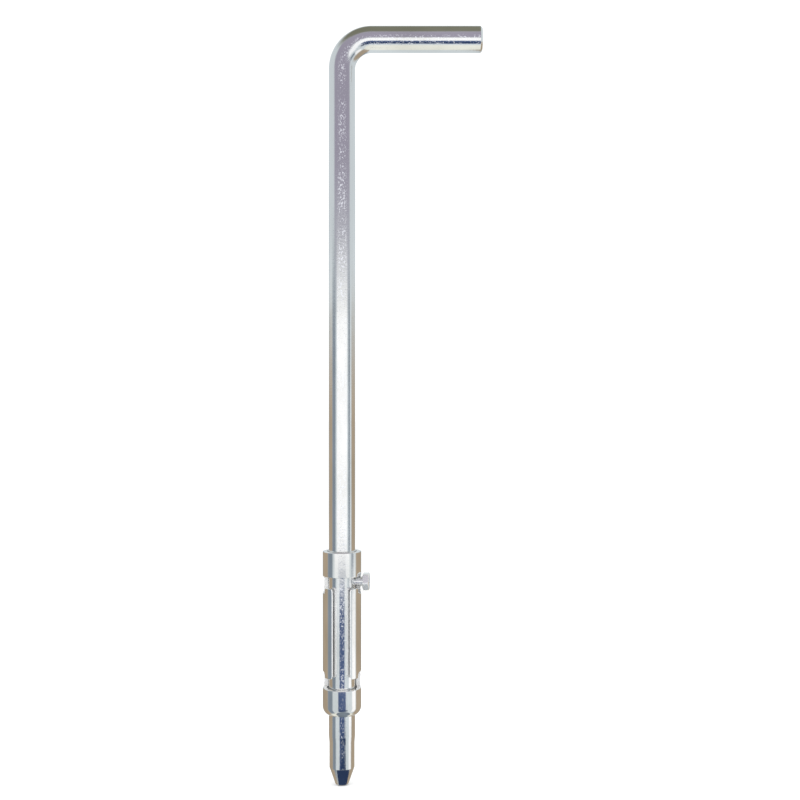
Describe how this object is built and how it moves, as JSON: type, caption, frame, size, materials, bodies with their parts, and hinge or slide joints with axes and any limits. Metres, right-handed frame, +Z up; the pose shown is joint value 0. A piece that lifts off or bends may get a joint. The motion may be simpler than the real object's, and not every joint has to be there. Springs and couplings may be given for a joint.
{
  "type": "gate drop bolt",
  "caption": "Round-bar gate drop bolt with an L handle and conical nose, held by a hex stop screw in a weld-on tube guide with a bayonet slot.",
  "frame": {"origin": "middle of the back of the guide tube, where it is welded to a gate", "axes": "+Z up along the bar, -Y out of the guide's window, +X along the handle"},
  "size_m": [0.0967, 0.0234, 0.4589],
  "materials": {
    "bar_zinc": "bright zinc plate",
    "guide_zinc": "bright zinc plate",
    "screw_zinc": "bright zinc plate"
  },
  "bodies": {
    "guide": {"guide_tube": "guide_zinc"},
    "bolt": {"bolt_rod": "bar_zinc", "stop_screw": "screw_zinc"}
  },
  "joints": [
    {"name": "rod_turn", "type": "hinge", "parent": "guide", "child": "bolt", "pos_m": [0, -0.0117, 0.0309], "axis": [0, 0, 1], "range_deg": [-176, 4]}
  ]
}
